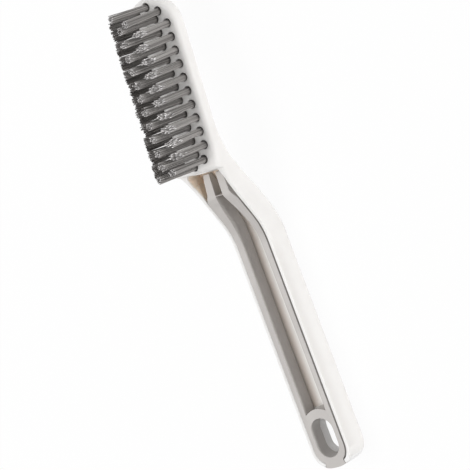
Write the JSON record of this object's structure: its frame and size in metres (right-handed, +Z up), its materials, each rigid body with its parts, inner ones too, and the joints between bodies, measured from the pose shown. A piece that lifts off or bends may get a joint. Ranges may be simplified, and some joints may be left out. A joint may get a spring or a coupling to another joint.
{
  "type": "cleaning brush",
  "caption": "Hand brush for bathroom cleaning: long channelled handle with a hang slot, bent neck, round-tipped head with domed bristle tufts.",
  "frame": {"origin": "middle of the overall box in plan, on the plane of the flat back of the handle", "axes": "+X along the brush towards the tip of the head, +Y across it, +Z up, the side the bristles stand on"},
  "size_m": [0.2273, 0.028, 0.0597],
  "materials": {
    "white_plastic": "satin, moulded",
    "grey_plastic": "matte, moulded",
    "grey_bristles": "bundles of nylon filament"
  },
  "bodies": {
    "root": {"handle_shell": "white_plastic", "grip_liner": "grey_plastic", "tuft_01": "grey_bristles", "tuft_02": "grey_bristles", "tuft_03": "grey_bristles", "tuft_04": "grey_bristles", "tuft_05": "grey_bristles", "tuft_06": "grey_bristles", "tuft_07": "grey_bristles", "tuft_08": "grey_bristles", "tuft_09": "grey_bristles", "tuft_10": "grey_bristles", "tuft_11": "grey_bristles", "tuft_12": "grey_bristles", "tuft_13": "grey_bristles", "tuft_14": "grey_bristles", "tuft_15": "grey_bristles", "tuft_16": "grey_bristles", "tuft_17": "grey_bristles", "tuft_18": "grey_bristles", "tuft_19": "grey_bristles", "tuft_20": "grey_bristles", "tuft_21": "grey_bristles", "tuft_22": "grey_bristles", "tuft_23": "grey_bristles", "tuft_24": "grey_bristles", "tuft_25": "grey_bristles", "tuft_26": "grey_bristles", "tuft_27": "grey_bristles", "tuft_28": "grey_bristles", "tuft_29": "grey_bristles", "tuft_30": "grey_bristles", "tuft_31": "grey_bristles", "tuft_32": "grey_bristles", "tuft_33": "grey_bristles", "tuft_34": "grey_bristles", "tuft_35": "grey_bristles", "tuft_36": "grey_bristles", "tuft_37": "grey_bristles", "tuft_38": "grey_bristles", "tuft_39": "grey_bristles", "tuft_40": "grey_bristles", "tuft_41": "grey_bristles", "tuft_42": "grey_bristles", "tuft_43": "grey_bristles", "tuft_44": "grey_bristles", "tuft_45": "grey_bristles", "tuft_46": "grey_bristles", "tuft_47": "grey_bristles", "tuft_48": "grey_bristles"}
  },
  "joints": []
}
